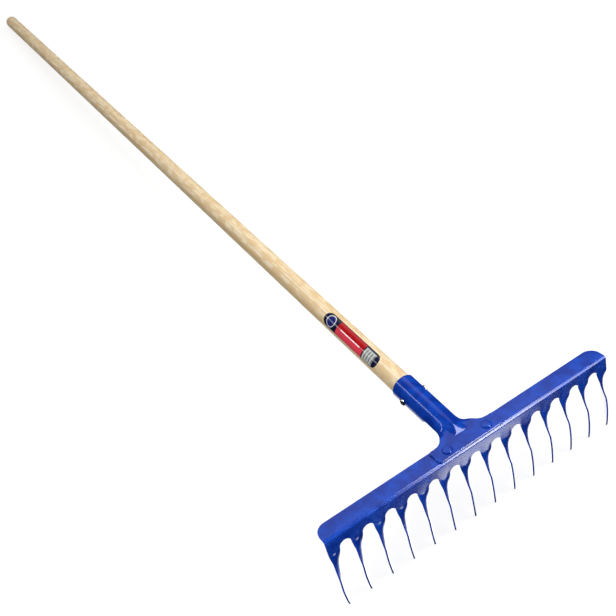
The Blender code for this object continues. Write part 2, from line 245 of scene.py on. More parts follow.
def show(name: str, mesh: BMesh, place: Matrix, material: Material, node: str) -> Object:
    """Turn a finished bmesh into a piece of the rake, with its place in its mesh.

    Args:
        name: The piece's name.
        mesh: The bmesh, which is used up.
        place: The frame that it was modelled in.
        material: Its finish.
        node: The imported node, and the record's slot, that the piece stands for.

    Returns:
        The new object.
    """
    bmesh.ops.transform(mesh, matrix=place, verts=mesh.verts)
    for face in mesh.faces:
        face.smooth = True
    data = bpy.data.meshes.new(name)
    mesh.to_mesh(data)
    mesh.free()
    data.materials.append(material)
    piece = put(name, data)
    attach(piece, "root")
    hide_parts(node)
    LOG.info("%s: %d faces before its modifiers", name, len(data.polygons))
    return piece


def thicken(piece: Object, thickness: float, offset: float = 0.0) -> None:
    """Give an open sheet its thickness, even on its bends.

    Args:
        piece: The sheet.
        thickness: Its thickness.
        offset: -1 to 1, from all behind the faces to all in front of them.
    """
    solid = piece.modifiers.new("Thickness", 'SOLIDIFY')
    solid.thickness = thickness
    solid.offset = offset
    solid.use_even_offset = True


def soften_edges(piece: Object, width: float, segments: int = 2,
                 marked_only: bool = False) -> None:
    """Round a piece's sharp edges, as wide as its faces leave room for, and keep its flats flat.

    Args:
        piece: The piece.
        width: Width of the rounding, at most.
        segments: Number of steps in it.
        marked_only: Round only the edges with an EDGE_MARK, always at full width.
    """
    bevel = piece.modifiers.new("Edges", 'BEVEL')
    bevel.width = width
    bevel.segments = segments
    bevel.limit_method = 'WEIGHT' if marked_only else 'ANGLE'
    bevel.angle_limit = SHARP
    bevel.harden_normals = True
    bevel.use_clamp_overlap = not marked_only


class Nodes:
    """A node tree of a material or a world, with short ways to add to it."""

    def __init__(self, tree: NodeTree, place: str) -> None:
        """Take a tree and give it its coordinates.

        Args:
            tree: The tree.
            place: Which of the Texture Coordinate node's outputs the patterns read.
        """
        self.tree = tree
        self.place = self.add("ShaderNodeTexCoord").outputs[place]

    def add(self, kind: str, **settings: object) -> Node:
        """Add a node.

        Args:
            kind: The node's type.
            settings: Properties of the node.

        Returns:
            The node.
        """
        node = self.tree.nodes.new(kind)
        for key, value in settings.items():
            setattr(node, key, value)
        return node

    def feed(self, socket: NodeSocket, value: object) -> None:
        """Set an input, from a number, a colour or another node's output.

        Args:
            socket: The input.
            value: What it gets.
        """
        if isinstance(value, NodeSocket):
            self.tree.links.new(value, socket)
        else:
            socket.default_value = value

    def fill(self, node: Node, **values: object) -> Node:
        """Set several of a node's inputs.

        Args:
            node: The node.
            values: An output or value for each input, with _ for each space in a name.

        Returns:
            The node.
        """
        for name, value in values.items():
            self.feed(node.inputs[name.replace("_", " ")], value)
        return node

    def dot(self, value: NodeSocket, axis: Sequence[float]) -> NodeSocket:
        """Measure a vector along an axis.

        Args:
            value: The vector.
            axis: The axis, of length 1.

        Returns:
            Its length along the axis.
        """
        node = self.add("ShaderNodeVectorMath", operation='DOT_PRODUCT')
        self.feed(node.inputs[0], value)
        self.feed(node.inputs[1], axis)
        return node.outputs["Value"]

    def noise(self, feature: float, where: NodeSocket | None = None,
              detail: float = 2.0) -> NodeSocket:
        """Make a soft random pattern.

        Args:
            feature: Size of its blots, in metres.
            where: Position to read, or None for the object's own.
            detail: Number of finer layers.

        Returns:
            The pattern's value, around 0.5.
        """
        node = self.fill(self.add("ShaderNodeTexNoise"), Vector=where or self.place,
                         Scale=1.0 / feature, Detail=detail)
        return node.outputs["Fac"]

    def math(self, operation: str, *values: object, clamp: bool = False) -> NodeSocket:
        """Work out one sum.

        Args:
            operation: The Math node's operation.
            values: Its inputs.
            clamp: Whether the result is kept between 0 and 1.

        Returns:
            The result.
        """
        node = self.add("ShaderNodeMath", operation=operation, use_clamp=clamp)
        for socket, value in zip(node.inputs, values):
            self.feed(socket, value)
        return node.outputs[0]

    def ramp(self, value: NodeSocket, low: float, high: float, first: float = 0.0,
             last: float = 1.0) -> NodeSocket:
        """Change smoothly from one number to another.

        Args:
            value: What it follows.
            low: The value where the change starts.
            high: The value where it ends.
            first: The result up to low.
            last: The result from high on.

        Returns:
            The result.
        """
        node = self.add("ShaderNodeMapRange", interpolation_type='SMOOTHSTEP')
        for socket, number in zip(node.inputs, (value, low, high, first, last)):
            self.feed(socket, number)
        return node.outputs["Result"]

    def mix(self, share: object, first: object, second: object) -> NodeSocket:
        """Mix two colours.

        Args:
            share: 0 for the first colour, 1 for the second.
            first: A colour or an output.
            second: A colour or an output.

        Returns:
            The mixed colour.
        """
        node = self.add("ShaderNodeMix", data_type='RGBA')
        # The node has sockets for every type of data, and these are the ones for colours
        for index, value in ((0, share), (6, first), (7, second)):
            self.feed(node.inputs[index], (*value, 1.0) if isinstance(value, tuple) else value)
        return node.outputs[2]


class Shader(Nodes):
    """A Principled material and the nodes that feed it."""

    def __init__(self, name: str, **constants: float | tuple) -> None:
        """Start a material.

        Args:
            name: The material's name.
            constants: Values for the shader's own sockets, with _ for each space in a name.
        """
        self.material = bpy.data.materials.new(name)
        self.material.use_nodes = True
        super().__init__(self.material.node_tree, "Object")
        self.surface = self.tree.nodes["Principled BSDF"]
        self.fill(self.surface, **constants)

    def framed(self, axes: Matrix, stretch: float) -> NodeSocket:
        """Read positions in another frame.

        Args:
            axes: The frame, in the world.
            stretch: How much longer a pattern gets along the frame's Z axis.

        Returns:
            The output that holds the position.
        """
        mapping = self.fill(self.add("ShaderNodeMapping", vector_type='TEXTURE'),
                            Vector=self.place, Location=axes.translation,
                            Rotation=axes.to_euler(), Scale=(1.0, 1.0, stretch))
        return mapping.outputs["Vector"]

    def emboss(self, height: NodeSocket, depth: float,
               under: NodeSocket | None = None) -> NodeSocket:
        """Turn a height pattern into relief.

        Args:
            height: The pattern, 0 to 1.
            depth: How deep it is, in metres.
            under: A relief that this one lies on.

        Returns:
            The normal.
        """
        node = self.fill(self.add("ShaderNodeBump"), Distance=depth, Height=height)
        if under is not None:
            self.feed(node.inputs["Normal"], under)
        return node.outputs["Normal"]

    def done(self, **links: object) -> Material:
        """Fill the shader's sockets and hand over the material."""
        self.fill(self.surface, **links)
        return self.material


@dataclass(frozen=True)
class PowderCoat:
    """Glossy blue powder coat: an even colour with orange peel and a slightly wavy sheet below."""

    name: str
    colour: Triple = (0.001, 0.028, 0.29)
    thin: Triple = (0.001, 0.050, 0.42)
    peel: float = 1.3 * MM
    peel_depth: float = 0.005 * MM
    wave: float = 45.0 * MM
    wave_depth: float = 0.03 * MM
    cloud: float = 15.0 * MM
    speck_share: float = 0.15
    thinning: Span = (0.44, 0.72)
    roughness: Span = (0.20, 0.30)

    def material(self) -> Material:
        """Build the coat's nodes.

        Returns:
            The material.
        """
        coat = Shader(self.name, Coat_Weight=0.6, Coat_Roughness=0.06, Coat_IOR=1.5,
                      Specular_IOR_Level=0.2)
        drift = coat.noise(self.cloud, detail=3.0)
        speck = coat.noise(self.peel, detail=1.0)
        specks = coat.math('MULTIPLY', speck, self.speck_share)
        tone = coat.ramp(coat.math('ADD', drift, specks), *self.thinning)
        sheet = coat.emboss(coat.noise(self.wave, detail=0.0), self.wave_depth)
        peel = coat.emboss(speck, self.peel_depth, under=sheet)
        return coat.done(Base_Color=coat.mix(tone, self.colour, self.thin),
                         Roughness=coat.ramp(drift, *NOISE_SPAN, *self.roughness), Normal=peel)


@dataclass(frozen=True)
class PaleWood:
    """Turned softwood under a thin clear coat: yearly rings, fibres, warm clouds and end grain."""

    name: str
    early: Triple = (0.90, 0.76, 0.53)
    late: Triple = (0.60, 0.41, 0.18)
    warm: Triple = (0.73, 0.52, 0.27)
    end: Triple = (0.42, 0.26, 0.12)
    ring: float = 2.6 * MM
    ring_stretch: float = 26.0
    ring_rise: Span = (0.45, 0.95)
    ring_fall: Span = (0.97, 1.0)
    ring_depth: float = 0.05 * MM
    pith: Triple = (36.0 * MM, 14.0 * MM, 0.0)
    fibre: float = 0.45 * MM
    fibre_stretch: float = 90.0
    fibre_depth: float = 0.03 * MM
    drift: float = 9.0 * MM
    drift_stretch: float = 14.0
    cloud: float = 6.5 * MM
    cloud_stretch: float = 3.0
    cloud_rise: Span = (0.44, 0.58)
    roughness: Span = (0.40, 0.55)

    def material(self) -> Material:
        """Build the wood's nodes.

        Returns:
            The material.
        """
        wood = Shader(self.name, Coat_Weight=0.15, Coat_Roughness=0.3, Specular_IOR_Level=0.4)
        log = POLE_FRAME @ Matrix.Translation(self.pith)
        wave = wood.add("ShaderNodeTexWave", wave_type='RINGS', rings_direction='Z',
                        wave_profile='SAW')
        wood.fill(wave, Vector=wood.framed(log, self.ring_stretch),
                  Scale=math.tau / (WAVE_PHASE * self.ring), Distortion=2.6, Detail=2.0,
                  Detail_Scale=0.35, Detail_Roughness=0.5)
        darkening = wood.ramp(wave.outputs["Fac"], *self.ring_rise)
        ending = wood.ramp(wave.outputs["Fac"], *self.ring_fall, 1.0, 0.0)
        ring = wood.math('MULTIPLY', darkening, ending)
        fibres = wood.noise(self.fibre, wood.framed(POLE_FRAME, self.fibre_stretch), detail=3.0)
        drift = wood.noise(self.drift, wood.framed(POLE_FRAME, self.drift_stretch))
        share = wood.math('MULTIPLY', ring, wood.ramp(drift, *NOISE_SPAN, 0.35, 1.0))
        share = wood.math('ADD', share, wood.ramp(fibres, 0.35, 0.75, -0.08, 0.22), clamp=True)
        tint = wood.mix(share, self.early, self.late)
        cloud = wood.noise(self.cloud, wood.framed(POLE_FRAME, self.cloud_stretch), detail=4.0)
        tint = wood.mix(wood.ramp(cloud, *self.cloud_rise, 0.0, 0.85), tint, self.warm)
        normal = wood.add("ShaderNodeNewGeometry").outputs["Normal"]
        facing_end = wood.math('ABSOLUTE', wood.dot(normal, POLE_FRAME.col[2].xyz))
        tint = wood.mix(wood.ramp(facing_end, 0.45, 0.95, 0.0, 0.6), tint, self.end)
        grain = wood.emboss(fibres, self.fibre_depth)
        return wood.done(Base_Color=tint, Normal=wood.emboss(ring, self.ring_depth, under=grain),
                         Roughness=wood.ramp(fibres, *NOISE_SPAN, *self.roughness))


@dataclass(frozen=True)
class PlatedSteel:
    """Bright plated steel with fine dull specks."""

    name: str
    colour: Triple = (0.80, 0.80, 0.79)
    dull: Triple = (0.62, 0.62, 0.60)
    speck: float = 0.6 * MM
    speck_depth: float = 0.004 * MM
    roughness: Span = (0.16, 0.34)

    def material(self) -> Material:
        """Build the plating's nodes.

        Returns:
            The material.
        """
        steel = Shader(self.name, Metallic=1.0)
        speck = steel.noise(self.speck, detail=3.0)
        tint = steel.mix(steel.ramp(speck, *NOISE_SPAN), self.colour, self.dull)
        return steel.done(Base_Color=tint, Normal=steel.emboss(speck, self.speck_depth),
                          Roughness=steel.ramp(speck, *NOISE_SPAN, *self.roughness))


@dataclass(frozen=True)
class LabelFilm:
    """Printed film: a red field between dark caps, a pale panel and a dark edge, with no words, and
    a painted highlight in lighter red along one side of the red field.

    Places along the film run from the end near the socket, and places across it from its middle.
    """

    name: str
    red: Triple = (0.40, 0.003, 0.006)
    # A lighter red that stands for the film's gloss: a painted highlight, not print
    painted_highlight_red: Triple = (0.78, 0.050, 0.085)
    blue: Triple = (0.008, 0.016, 0.14)
    dark: Triple = (0.004, 0.007, 0.035)
    pale: Triple = (0.50, 0.52, 0.49)
    white: Triple = (0.90, 0.90, 0.92)
    red_along: Span = (29.0 * MM, 83.5 * MM)
    # Where, across the film, the painted highlight fades into the printed red
    painted_highlight_fade: Span = (-2.5 * MM, 1.0 * MM)
    stripe_along: Span = (36.0 * MM, 76.0 * MM)
    stripe_half: float = 0.55 * MM
    panel_along: Span = (8.0 * MM, 27.0 * MM)
    panel_across: Span = (-8.4 * MM, 6.8 * MM)
    bar_across: Span = (-7.0 * MM, 5.4 * MM)
    bar_spacing: float = 2.3 * MM
    bar_half: float = 0.75 * MM
    bar_ink: float = 0.75
    disc_middle: float = 97.5 * MM
    disc_radius: float = 7.3 * MM
    ring: Span = (7.0 * MM, 7.9 * MM)
    edge_from: float = 8.9 * MM
    crisp: float = 0.25 * MM
    crease: float = 6.0 * MM
    crease_depth: float = 0.02 * MM
    roughness: Span = (0.22, 0.34)

    def band(self, film: Shader, value: NodeSocket, low: float, high: float) -> NodeSocket:
        """Mark a band with crisp sides.

        Args:
            film: The film's nodes.
            value: The measure that the band is laid along.
            low: Where the band starts.
            high: Where it ends.

        Returns:
            1 in the band and 0 beyond it.
        """
        rise = film.ramp(value, low - self.crisp, low + self.crisp)
        fall = film.ramp(value, high - self.crisp, high + self.crisp, 1.0, 0.0)
        return film.math('MULTIPLY', rise, fall)

    def material(self) -> Material:
        """Build the print and the painted highlight on the film's own map, whose U runs across and
        V along, both 0 to 1.

        Returns:
            The material.
        """
        film = Shader(self.name, Coat_Weight=0.7, Coat_Roughness=0.10, Specular_IOR_Level=0.15)
        band = partial(self.band, film)
        spread = film.add("ShaderNodeSeparateXYZ")
        film.feed(spread.inputs[0], film.add("ShaderNodeUVMap", uv_map="film").outputs["UV"])
        across = film.math('MULTIPLY', film.math('SUBTRACT', spread.outputs["X"], 0.5),
                           LABEL_WIDTH)
        along = film.math('MULTIPLY', spread.outputs["Y"], LABEL_LENGTH)
        aside = film.math('ABSOLUTE', across)

        # One side of the red field is a painted highlight in lighter red; the other side keeps the
        # printed red
        red_with_painted_highlight = film.mix(film.ramp(across, *self.painted_highlight_fade), self.painted_highlight_red, self.red)
        tint = film.mix(band(along, *self.red_along), self.dark, red_with_painted_highlight)
        stripe = film.math('MULTIPLY', band(along, *self.stripe_along),
                           band(aside, -FAR, self.stripe_half))
        tint = film.mix(stripe, tint, self.white)

        panel = film.math('MULTIPLY', band(along, *self.panel_along),
                          band(across, *self.panel_across))
        to_bar = film.math('PINGPONG', along, self.bar_spacing)
        inked = film.math('MULTIPLY', band(to_bar, -FAR, self.bar_half),
                          band(across, *self.bar_across))
        paper = film.mix(film.math('MULTIPLY', inked, self.bar_ink), self.pale, self.dark)
        tint = film.mix(panel, tint, paper)

        from_disc = film.math('SUBTRACT', along, self.disc_middle)
        radius = film.math('SQRT', film.math('ADD', film.math('POWER', from_disc, 2.0),
                                             film.math('POWER', across, 2.0)))
        tint = film.mix(band(radius, -FAR, self.disc_radius), tint, self.blue)
        tint = film.mix(band(radius, *self.ring), tint, self.white)
        tint = film.mix(band(aside, self.edge_from, FAR), tint, self.dark)

        crease = film.noise(self.crease)
        return film.done(Base_Color=tint, Normal=film.emboss(crease, self.crease_depth),
                         Roughness=film.ramp(crease, *NOISE_SPAN, *self.roughness))


@dataclass
class TineHead:
    """The pressed head: a flange, a bend, a short plate and the twisted tines cut from it."""

    tines: int = 14
    pitch: float = 28.0 * MM
    neck: float = 14.0 * MM
    flange: float = 22.5 * MM
    corner: float = 13.0 * MM
    bend: float = 3.5 * MM
    slot_top: float = 12.4 * MM
    reach: float = 94.0 * MM
    widest: float = 22.4 * MM
    widest_depth: float = 47.4 * MM
    swell: Span = (29.5 * MM, 50.5 * MM)
    tip: float = 1.6 * MM
    twist: float = math.radians(59.6)
    twist_length: float = 30.2 * MM
    sweep: float = 9.4 * MM
    sweep_between: Span = (30.7 * MM, 67.2 * MM)
    hook: float = 1.8 * MM
    hook_length: float = 15.7 * MM
    edge: float = 0.14 * MM
    columns: int = 4
    rows: int = 40
    slot_steps: int = 16
    bend_steps: int = 8

    @property
    def neck_depth(self) -> float:
        """Depth at which the necks leave the plate."""
        return self.slot_top + (self.pitch - self.neck) / 2

    @property
    def bar(self) -> float:
        """Length of the bar."""
        return (self.tines - 1) * self.pitch + self.neck

    def centres(self) -> list[float]:
        """Where the tines stand along the bar."""
        return [(tine - (self.tines - 1) / 2) * self.pitch for tine in range(self.tines)]

    def width_at(self, depth: float) -> float:
        """Find a tine's width.

        Args:
            depth: Depth below the flange's top face.

        Returns:
            The width of the neck, the leaf or the taper to the tip.
        """
        taper = (self.widest - self.tip) / (self.reach - self.widest_depth)
        leaf = self.tip + taper * (self.reach - depth)
        start, end = self.swell
        return blend(self.neck, leaf, ease((depth - start) / (end - start)))

    def sweep_at(self, depth: float) -> float:
        """Find how far the tine's middle lies to its rear side.

        Args:
            depth: Depth below the flange's top face.

        Returns:
            The offset, which is below 0 where the crescent swings forward.
        """
        start, end = self.sweep_between
        forward = self.sweep * ease((depth - start) / (end - start))
        hook = max(depth - (self.reach - self.hook_length), 0.0) / self.hook_length
        return self.hook * hook * hook - forward

    def blade_point(self, neck_x: float, depth: float, side: float) -> Vector:
        """Find a point on a tine.

        Args:
            neck_x: Where the tine stands along the bar.
            depth: Depth below the flange's top face.
            side: -1 on its front edge, 0 in its middle and 1 on its rear edge.

        Returns:
            The point, at the middle of the sheet.
        """
        share = min((depth - self.neck_depth) / self.twist_length, 1.0)
        angle = self.twist * math.sin(share * math.pi / 2)
        reach = self.sweep_at(depth) + side * self.width_at(depth) / 2
        return Vector((neck_x + reach * math.cos(angle), SHEET / 2 + reach * math.sin(angle),
                       -depth))

    def draw_lower_edge(self, sheet: BMesh) -> None:
        """Draw the plate's lower edge: every neck, and the round top of every slot between them.

        Args:
            sheet: The bmesh that gets the edges.
        """
        half = self.neck / 2
        pen = Pen(sheet, Vector((-self.bar / 2, SHEET / 2, -self.neck_depth)))
        for tine, neck_x in enumerate(self.centres()):
            pen.line((neck_x + half, SHEET / 2, -self.neck_depth), self.columns)
            if tine < self.tines - 1:
                centre = (neck_x + self.pitch / 2, SHEET / 2, -self.neck_depth)
                pen.arc(centre, (0, 1, 0), math.pi, self.slot_steps)

    def raise_plate(self, sheet: BMesh) -> None:
        """Draw the plate up from its lower edge, fold it back and run out the flange.

        Args:
            sheet: The bmesh that holds the lower edge.
        """
        corners, rims = extrude_edges(sheet, sheet.edges[:])
        bmesh.ops.scale(sheet, vec=(1, 1, 0), verts=corners,
                        space=Matrix.Translation((0, 0, self.bend)))
        folded = bmesh.ops.spin(sheet, geom=[*corners, *rims], cent=(0, self.bend, -self.bend),
                                axis=(1, 0, 0), angle=-math.pi / 2, steps=self.bend_steps,
                                use_merge=False, use_duplicate=False)
        rims = only(folded["geom_last"], BMEdge)
        corners, rims = extrude_edges(sheet, rims)
        bmesh.ops.translate(sheet, vec=(0, self.flange - self.bend, 0), verts=corners)
        bmesh.ops.remove_doubles(sheet, verts=sheet.verts, dist=MERGE)

        rear, inside = self.flange - MERGE, self.bar / 2 - self.corner
        ribs = [edge for edge in sheet.edges
                if edge.is_manifold and any(vert.co.y > rear for vert in edge.verts)
                and all(abs(vert.co.x) > inside - self.neck for vert in edge.verts)]
        bmesh.ops.dissolve_edges(sheet, edges=ribs, use_verts=True)
        ends = [vert for vert in sheet.verts
                if vert.co.y > rear and abs(vert.co.x) > self.bar / 2 - MERGE]
        bmesh.ops.bevel(sheet, geom=ends, offset=self.corner, segments=self.slot_steps, profile=0.5,
                        affect='VERTICES', material=-1)

    def draw_tines(self, sheet: BMesh) -> None:
        """Draw every neck's lower edge down into a twisted blade.

        Args:
            sheet: The bmesh that holds the plate.
        """
        half = self.neck / 2 + MERGE
        for neck_x in self.centres():
            rims = [edge for edge in sheet.edges
                    if all(abs(vert.co.z + self.neck_depth) < MERGE
                           and abs(vert.co.x - neck_x) < half for vert in edge.verts)]
            depth = self.neck_depth
            for row in range(1, self.rows + 1):
                corners, rims = extrude_edges(sheet, rims)
                across = self.blade_point(neck_x, depth, 1) - self.blade_point(neck_x, depth, -1)
                corners.sort(key=lambda vert: vert.co.dot(across))
                depth = blend(self.neck_depth, self.reach, row / self.rows)
                for place, vert in enumerate(corners):
                    side = 2.0 * place / self.columns - 1.0
                    vert.co = self.blade_point(neck_x, depth, side)

    def build(self, coat: PowderCoat) -> None:
        """Press the head.

        Args:
            coat: Its finish.
        """
        sheet = bmesh.new()
        self.draw_lower_edge(sheet)
        self.raise_plate(sheet)
        self.draw_tines(sheet)
        bmesh.ops.recalc_face_normals(sheet, faces=sheet.faces)
        piece = show("pressed_head", sheet, REST, coat.material(), "tine_head")
        thicken(piece, SHEET)
        soften_edges(piece, self.edge)


@dataclass
class Socket:
    """The rolled socket: an ear plate on the flange, drawn back into a tube with an open seam."""

    ear_span: float = 86.5 * MM
    ear_front: float = 1.5 * MM
    ear_rear: float = 21.5 * MM
    ear_corner: float = 3.0 * MM
    corner_steps: int = 8
    waist: float = 42.0 * MM
    fillet: float = 14.5 * MM
    roll_start: float = 27.0 * MM
    roll_length: float = 19.0 * MM
    waist_length: float = 26.0 * MM
    wrap_length: float = 20.0 * MM
    seam: float = 3.0 * MM
    facet_length: float = 11.0 * MM
    facet_half: float = 4.2 * MM
    facet_fade: float = 10.0 * MM
    edge: float = 0.6 * MM
    edge_steps: int = 4
    crease: float = 0.05 * MM
    columns: int = 64
    fillet_rows: int = 14
    waist_rows: int = 14
    wrap_rows: int = 20
    tube_rows: int = 16

    def half_blank(self, y: float) -> float:
        """Find half the width of the blank, measured along the sheet.

        Args:
            y: Distance behind the head's bend.

        Returns:
            The half width.
        """
        waist = self.waist / 2
        behind = y - self.ear_rear
        if behind <= self.fillet:
            left = max(self.fillet - behind, 0.0)
            return waist + self.fillet - math.sqrt(max(self.fillet ** 2 - left ** 2, 0.0))
        wrapped = math.pi * tube_middle(y) - self.seam / 2
        open_for = behind - self.fillet - self.waist_length
        return blend(waist, wrapped, ease(open_for / self.wrap_length))

    def point(self, y: float, side: float) -> Vector:
        """Find a point on the sheet, between the ear's plane and the pole's tube.

        The middle climbs the flat facet in a straight line. The sides roll down later and softly.

        Args:
            y: Distance behind the bend of the ridge of its section.
            side: -1 to 1 across the sheet.

        Returns:
            The point, at the middle of the sheet.
        """
        reach = side * self.half_blank(y)
        climbed = min(max((y - self.ear_rear) / self.facet_length, 0.0), 1.0)
        level = min(self.facet_half * (1.0 - climbed), abs(reach))
        beside = abs(reach) - level
        rolled = ease((y - self.roll_start) / self.roll_length)
        share = blend(climbed, rolled, ease(beside / self.facet_fade))
        radius = tube_middle(y)
        behind = max(y, self.ear_rear + self.facet_length) - MOUTH.y
        ridge = MOUTH.z + behind * math.tan(POLE_RISE) + radius / math.cos(POLE_RISE)
        turn = beside / radius
        aside = math.copysign(level + radius * math.sin(turn), reach)
        drop = radius * (1.0 - math.cos(turn))
        tube = Vector((aside, y + drop * math.sin(POLE_RISE), ridge - drop * math.cos(POLE_RISE)))
        return Vector((reach, y, FIT + SHEET / 2)).lerp(tube, share)

    def sections(self) -> list[float]:
        """Place the sheet's sections, from the ear's front to the mouth.

        Returns:
            Their distances behind the head's bend.
        """
        fillet_end = self.ear_rear + self.fillet
        wrap_start = fillet_end + self.waist_length
        wrap_end = wrap_start + self.wrap_length
        mouth = MOUTH.y - WALL_AT_MOUTH * math.sin(POLE_RISE)
        rows = [self.ear_front, self.ear_rear]
        for step in range(1, self.fillet_rows + 1):
            turn = math.pi / 2 * step / self.fillet_rows
            rows.append(self.ear_rear + self.fillet * (1.0 - math.cos(turn)))
        for start, end, steps in ((fillet_end, wrap_start, self.waist_rows),
                                  (wrap_start, wrap_end, self.wrap_rows),
                                  (wrap_end, mouth, self.tube_rows)):
            rows += [blend(start, end, step / steps) for step in range(1, steps + 1)]
        return rows

    def add_ears(self, sheet: BMesh) -> None:
        """Run the flat front of the sheet out to both ear ends and round their corners.

        Args:
            sheet: The bmesh that holds the sheet.
        """
        start = self.half_blank(self.ear_rear)
        for side in Side:
            rims = [edge for edge in sheet.edges
                    if all(abs(vert.co.x - side.value * start) < MERGE
                           and vert.co.y < self.ear_rear + MERGE for vert in edge.verts)]
            corners, rims = extrude_edges(sheet, rims)
            shift = (side.value * (self.ear_span / 2 - start), 0.0, 0.0)
            bmesh.ops.translate(sheet, vec=shift, verts=corners)
            bmesh.ops.bevel(sheet, geom=corners, offset=self.ear_corner, profile=0.5,
                            segments=self.corner_steps, affect='VERTICES', material=-1)

    def build(self, coat: PowderCoat) -> None:
        """Roll the socket.

        Args:
            coat: Its finish.
        """
        rows = self.sections()
        sheet = bmesh.new()
        bmesh.ops.create_grid(sheet, x_segments=self.columns, y_segments=len(rows) - 1, size=1.0)
        for vert in sheet.verts:
            row = round((vert.co.y + 1.0) / 2 * (len(rows) - 1))
            side = vert.co.x
            vert.co = self.point(rows[row], side)
            if row == 0:
                vert.co.x = side * self.half_blank(self.ear_rear)
        self.add_ears(sheet)
        bmesh.ops.recalc_face_normals(sheet, faces=sheet.faces)
        rims = sheet.edges.layers.float.new(EDGE_MARK)
        for edge in sheet.edges:
            edge[rims] = float(edge.is_boundary)
        piece = show("rolled_socket", sheet, REST, coat.material(), "socket")
        thicken(piece, SHEET)
        soften_edges(piece, self.edge, self.edge_steps, marked_only=True)
        # The foot of the facet gets a rounding of its own, so that the ears stay flat to the eye
        soften_edges(piece, self.crease)


@dataclass
class Rivet:
    """A rivet through the ear and the flange, with a slightly crowned head and a low round tail."""

    side: Side
    shank: float = 2.5 * MM
    head: float = 5.9 * MM
    flat: float = 4.1 * MM
    dome: float = 1.7 * MM
    tail: float = 1.2 * MM
    crown: float = 0.25 * MM
    edge: float = 0.15 * MM
    sides: int = 48
    crown_steps: int = 4
    tail_steps: int = 8

    def build(self, coat: PowderCoat) -> None:
        """Set the rivet.

        Args:
            coat: Its finish.
        """
        top = FIT + SHEET + FIT
        bottom = -SHEET - FIT
        outline = bmesh.new()
        pen = Pen(outline, Vector((0.0, 0.0, top + self.dome)))
        for step in range(1, self.crown_steps + 1):
            out = step / self.crown_steps
            pen.line((self.flat * out, 0.0, top + self.dome - self.crown * out * out))
        pen.bulge((self.flat, top), self.head - self.flat, self.dome - self.crown, ROUND_STEPS)
        pen.line((self.shank, 0.0, top), 2)
        pen.line((self.shank, 0.0, bottom), 2)
        pen.line((self.head, 0.0, bottom), 2)
        pen.bulge((0.0, bottom), self.head, -self.tail, self.tail_steps, inwards=True)
        lathe(outline, self.sides)
        place = REST @ Matrix.Translation((self.side.value * RIVET_REACH, RIVET_SETBACK, 0.0))
        piece = show("flat_rivet_" + self.side.word, outline, place, coat.material(),
                     "rivet_" + self.side.word)
        soften_edges(piece, self.edge)


@dataclass
class Screw:
    """A dome headed screw with a cross recess, through the socket's wall into the wood."""

    side: Side
    shank: float = 2.0 * MM
    length: float = 9.0 * MM
    head: float = 4.3 * MM
    dome: float = 2.6 * MM
    lip: float = 0.5 * MM
    recess_reach: float = 2.3 * MM
    recess_half: float = 0.55 * MM
    recess_depth: float = 1.5 * MM
    recess_draft: Triple = (0.8, 0.8, 0.5)
    edge: float = 0.08 * MM
    sides: int = 48

    def in_recess(self, face: BMFace, seat: float) -> bool:
        """Tell whether a face lies in the cross.

        Args:
            face: A face of the screw, about its own axis.
            seat: Height of the head's underside.

        Returns:
            Whether it is a part of the dome that is sunk.
        """
        middle = face.calc_center_median()
        near = min(abs(middle.x), abs(middle.y)) < self.recess_half
        return near and middle.xy.length < self.recess_reach and middle.z > seat + self.lip

    def cut_recess(self, mesh: BMesh, seat: float) -> None:
        """Sink a cross into the dome.

        Args:
            mesh: The screw, about its own axis.
            seat: Height of the head's underside.
        """
        for direction in ((1, 0, 0), (0, 1, 0)):
            for sign in (-1, 1):
                plane = Vector(direction) * self.recess_half * sign
                bmesh.ops.bisect_plane(mesh, geom=[*mesh.verts, *mesh.edges, *mesh.faces],
                                       plane_co=plane, plane_no=direction)
        bmesh.ops.remove_doubles(mesh, verts=mesh.verts, dist=MERGE)
        cross = [face for face in mesh.faces if self.in_recess(face, seat)]
        sunk = bmesh.ops.extrude_face_region(mesh, geom=cross)["geom"]
        bmesh.ops.delete(mesh, geom=cross, context='FACES')
        floor = only(sunk, BMVert)
        bmesh.ops.translate(mesh, vec=(0, 0, -self.recess_depth), verts=floor)
        bmesh.ops.scale(mesh, vec=self.recess_draft, verts=floor,
                        space=Matrix.Translation((0, 0, -(seat + self.dome - self.recess_depth))))

    def build(self, steel: PlatedSteel) -> None:
        """Drive the screw.

        Args:
            steel: Its finish.
        """
        centre = MOUTH - POLE_WAY * SCREW_SETBACK
        seat = tube_middle(centre.y) + SHEET / 2 + FIT
        tip = seat - self.length
        outline = bmesh.new()
        pen = Pen(outline, Vector((0.0, 0.0, seat + self.dome)))
        pen.bulge((0.0, seat + self.lip), self.head, self.dome - self.lip, ROUND_STEPS)
        pen.line((self.head, 0.0, seat))
        pen.line((self.shank, 0.0, seat), 2)
        pen.line((self.shank, 0.0, tip + self.shank), 4)
        pen.line((0.0, 0.0, tip), 2)
        lathe(outline, self.sides)
        self.cut_recess(outline, seat)
        place = (REST @ Matrix.Translation(centre)
                 @ Matrix.Rotation(self.side.value * math.pi / 2, 4, 'Y'))
        piece = show("socket_screw_" + self.side.word, outline, place, steel.material(),
                     "screw_" + self.side.word)
        soften_edges(piece, self.edge)


